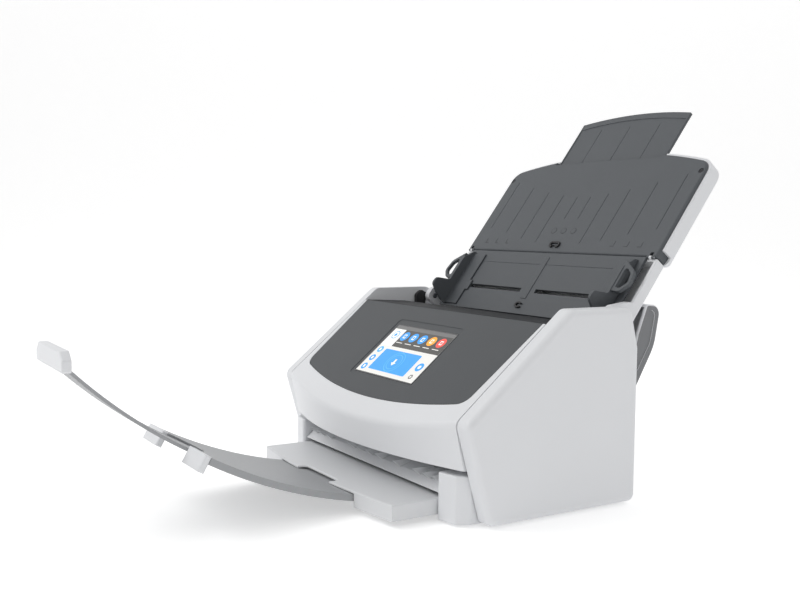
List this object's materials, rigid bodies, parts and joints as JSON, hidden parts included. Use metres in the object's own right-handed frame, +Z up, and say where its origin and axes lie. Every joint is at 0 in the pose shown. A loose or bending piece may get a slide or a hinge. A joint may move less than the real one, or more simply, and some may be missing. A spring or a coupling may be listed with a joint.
{
  "type": "sheet fed document scanner",
  "caption": "Desktop sheet fed scanner with a folding paper chute, sloping touch panel and a telescoping curved stacker.",
  "frame": {"origin": "on the desk plane under the middle of the open machine's overall box", "axes": "+X to the viewer's right, -Y to the front where the stacker is, +Z up"},
  "size_m": [0.292, 0.5432, 0.3203],
  "materials": {
    "white_plastic": "fine grained white moulded plastic",
    "panel_grey": "dark grey satin plastic of the control panel",
    "plate_grey": "darker grey satin plastic behind the panel",
    "dark_steel": "black finished steel",
    "chute_grey": "dark grey fine grained plastic of the paper chute",
    "tray_grey": "light grey satin plastic of the stacker",
    "inner_black": "black inner moulding",
    "inner_grey": "grey inner moulding",
    "screen_glass": "glossy touch panel",
    "scan_glass": "clear glass strip",
    "roller_rubber": "matt black rubber",
    "steel": "ground steel",
    "sheet_steel": "zinc plated sheet steel",
    "brass": "sintered bronze",
    "board_green": "solder resist on fibreglass"
  },
  "bodies": {
    "base": {"base_tray": "white_plastic", "rubber_feet": "roller_rubber", "left_side_cover": "white_plastic", "right_side_cover": "white_plastic", "left_side_frame": "sheet_steel", "right_side_frame": "sheet_steel", "rear_cover": "white_plastic", "lower_paper_guide": "inner_black", "exit_guide": "tray_grey", "rear_scan_glass": "scan_glass", "rear_image_sensor": "inner_black", "shaft_bushes": "brass", "drive_motor": "sheet_steel", "main_board": "board_green", "usb_socket": "sheet_steel", "power_socket": "inner_black", "drive_belts": "roller_rubber"},
    "feed_unit": {"front_cover": "white_plastic", "lid_hinge_pins": "steel", "control_panel": "panel_grey", "touch_glass": "screen_glass", "display_module": "inner_black", "top_plate": "plate_grey", "upper_paper_guide": "inner_black", "unit_frame": "inner_black", "front_scan_glass": "scan_glass", "front_image_sensor": "inner_black"},
    "pick_roller": {"pick_shaft": "steel", "pick_tyres": "roller_rubber", "pick_pulley": "inner_grey"},
    "feed_roller": {"feed_shaft": "steel", "feed_tyres": "roller_rubber", "feed_pulleys": "inner_grey"},
    "eject_roller": {"eject_shaft": "steel", "eject_tyres": "roller_rubber", "eject_pulley": "inner_grey"},
    "motor_wheel": {"motor_pulley": "steel"},
    "brake_roller": {"brake_shaft": "steel", "brake_tyres": "roller_rubber"},
    "feed_pinch": {"feed_pinch_roller": "inner_grey"},
    "eject_pinch": {"eject_pinch_roller": "inner_grey"},
    "lever": {"release_lever": "inner_black"},
    "chute": {"lower_chute_tray": "chute_grey", "chute_back_shell": "white_plastic", "chute_hinge_pins": "steel"},
    "cover": {"upper_chute_tray": "chute_grey", "upper_cover_shell": "white_plastic", "cover_screws": "dark_steel", "fold_pins": "steel", "cover_clip": "inner_black"},
    "extension": {"chute_extension": "chute_grey"},
    "left_guide": {"left_side_guide": "chute_grey"},
    "right_guide": {"right_side_guide": "chute_grey"},
    "pinion": {"guide_pinion": "inner_grey"},
    "flap": {"rear_flap": "white_plastic"},
    "tray": {"stacker_tray": "tray_grey"},
    "middle_stage": {"stacker_middle": "tray_grey", "stacker_grips": "white_plastic"},
    "end_stage": {"stacker_end": "tray_grey", "stacker_stop": "white_plastic"}
  },
  "joints": [
    {"name": "feed_unit_open", "type": "hinge", "parent": "base", "child": "feed_unit", "pos_m": [0, -0.01898, 0.052], "axis": [-1, 0, 0], "range_deg": [-30, 0]},
    {"name": "motor_spin", "type": "hinge", "parent": "base", "child": "motor_wheel", "pos_m": [0, 0.09902, 0.044], "axis": [1, 0, 0], "continuous": true},
    {"name": "pick_spin", "type": "hinge", "parent": "base", "child": "pick_roller", "pos_m": [0, 0.11461, 0.10594], "axis": [1, 0, 0], "continuous": true},
    {"name": "feed_spin", "type": "hinge", "parent": "base", "child": "feed_roller", "pos_m": [0, 0.09323, 0.082], "axis": [1, 0, 0], "continuous": true},
    {"name": "eject_spin", "type": "hinge", "parent": "base", "child": "eject_roller", "pos_m": [0, 0.00302, 0.0264], "axis": [1, 0, 0], "continuous": true},
    {"name": "brake_spin", "type": "hinge", "parent": "feed_unit", "child": "brake_roller", "pos_m": [0, 0.09998, 0.11709], "axis": [1, 0, 0], "continuous": true},
    {"name": "feed_pinch_spin", "type": "hinge", "parent": "feed_unit", "child": "feed_pinch", "pos_m": [0, 0.08377, 0.08921], "axis": [1, 0, 0], "continuous": true},
    {"name": "eject_pinch_spin", "type": "hinge", "parent": "feed_unit", "child": "eject_pinch", "pos_m": [0, 0.00302, 0.0363], "axis": [1, 0, 0], "continuous": true},
    {"name": "lever_press", "type": "hinge", "parent": "base", "child": "lever", "pos_m": [-0.13, 0.10902, 0.134], "axis": [1, 0, 0], "range_deg": [0, 15]},
    {"name": "chute_fold", "type": "hinge", "parent": "base", "child": "chute", "pos_m": [0, 0.12202, 0.1435], "axis": [1, 0, 0], "range_deg": [0, 127.3]},
    {"name": "cover_fold", "type": "hinge", "parent": "chute", "child": "cover", "pos_m": [0, 0.16664, 0.18876], "axis": [1, 0, 0], "range_deg": [0, 39.6]},
    {"name": "flap_fold", "type": "hinge", "parent": "base", "child": "flap", "pos_m": [0, 0.12752, 0.0625], "axis": [1, 0, 0], "range_deg": [0, 14.1]},
    {"name": "extension_slide", "type": "slide", "parent": "cover", "child": "extension", "axis": [0, -0.606, -0.7955], "range_m": [0, 0.05]},
    {"name": "right_guide_slide", "type": "slide", "parent": "chute", "child": "right_guide", "axis": [1, 0, 0], "range_m": [-0.072, 0]},
    {"name": "left_guide_slide", "type": "slide", "parent": "chute", "child": "left_guide", "axis": [1, 0, 0], "range_m": [0, 0.072]},
    {"name": "pinion_spin", "type": "hinge", "parent": "chute", "child": "pinion", "pos_m": [0, 0.14929, 0.15922], "axis": [0, -0.7955, 0.606], "range_deg": [0, 345]},
    {"name": "tray_slide", "type": "slide", "parent": "base", "child": "tray", "axis": [0, 1, 0], "range_m": [0, 0.043]},
    {"name": "middle_stage_slide", "type": "hinge", "parent": "tray", "child": "middle_stage", "pos_m": [0, 0.00102, 0.379], "axis": [1, 0, 0], "range_deg": [0, 17]},
    {"name": "end_stage_slide", "type": "hinge", "parent": "middle_stage", "child": "end_stage", "pos_m": [0, 0.00102, 0.379], "axis": [1, 0, 0], "range_deg": [0, 15.2]}
  ],
  "couplings": [
    {"joint": "motor_spin", "follows": "feed_spin", "ratio": 1.5},
    {"joint": "pick_spin", "follows": "feed_spin", "ratio": 1},
    {"joint": "eject_spin", "follows": "feed_spin", "ratio": 1.3636},
    {"joint": "brake_spin", "follows": "feed_spin", "ratio": -1.1177},
    {"joint": "feed_pinch_spin", "follows": "feed_spin", "ratio": -1.5556},
    {"joint": "eject_pinch_spin", "follows": "feed_spin", "ratio": -1.5151},
    {"joint": "cover_fold", "follows": "chute_fold", "ratio": 0.311},
    {"joint": "flap_fold", "follows": "chute_fold", "ratio": 0.11},
    {"joint": "left_guide_slide", "follows": "right_guide_slide", "ratio": -1},
    {"joint": "pinion_spin", "follows": "right_guide_slide", "rad_per_m": -83.333}
  ]
}
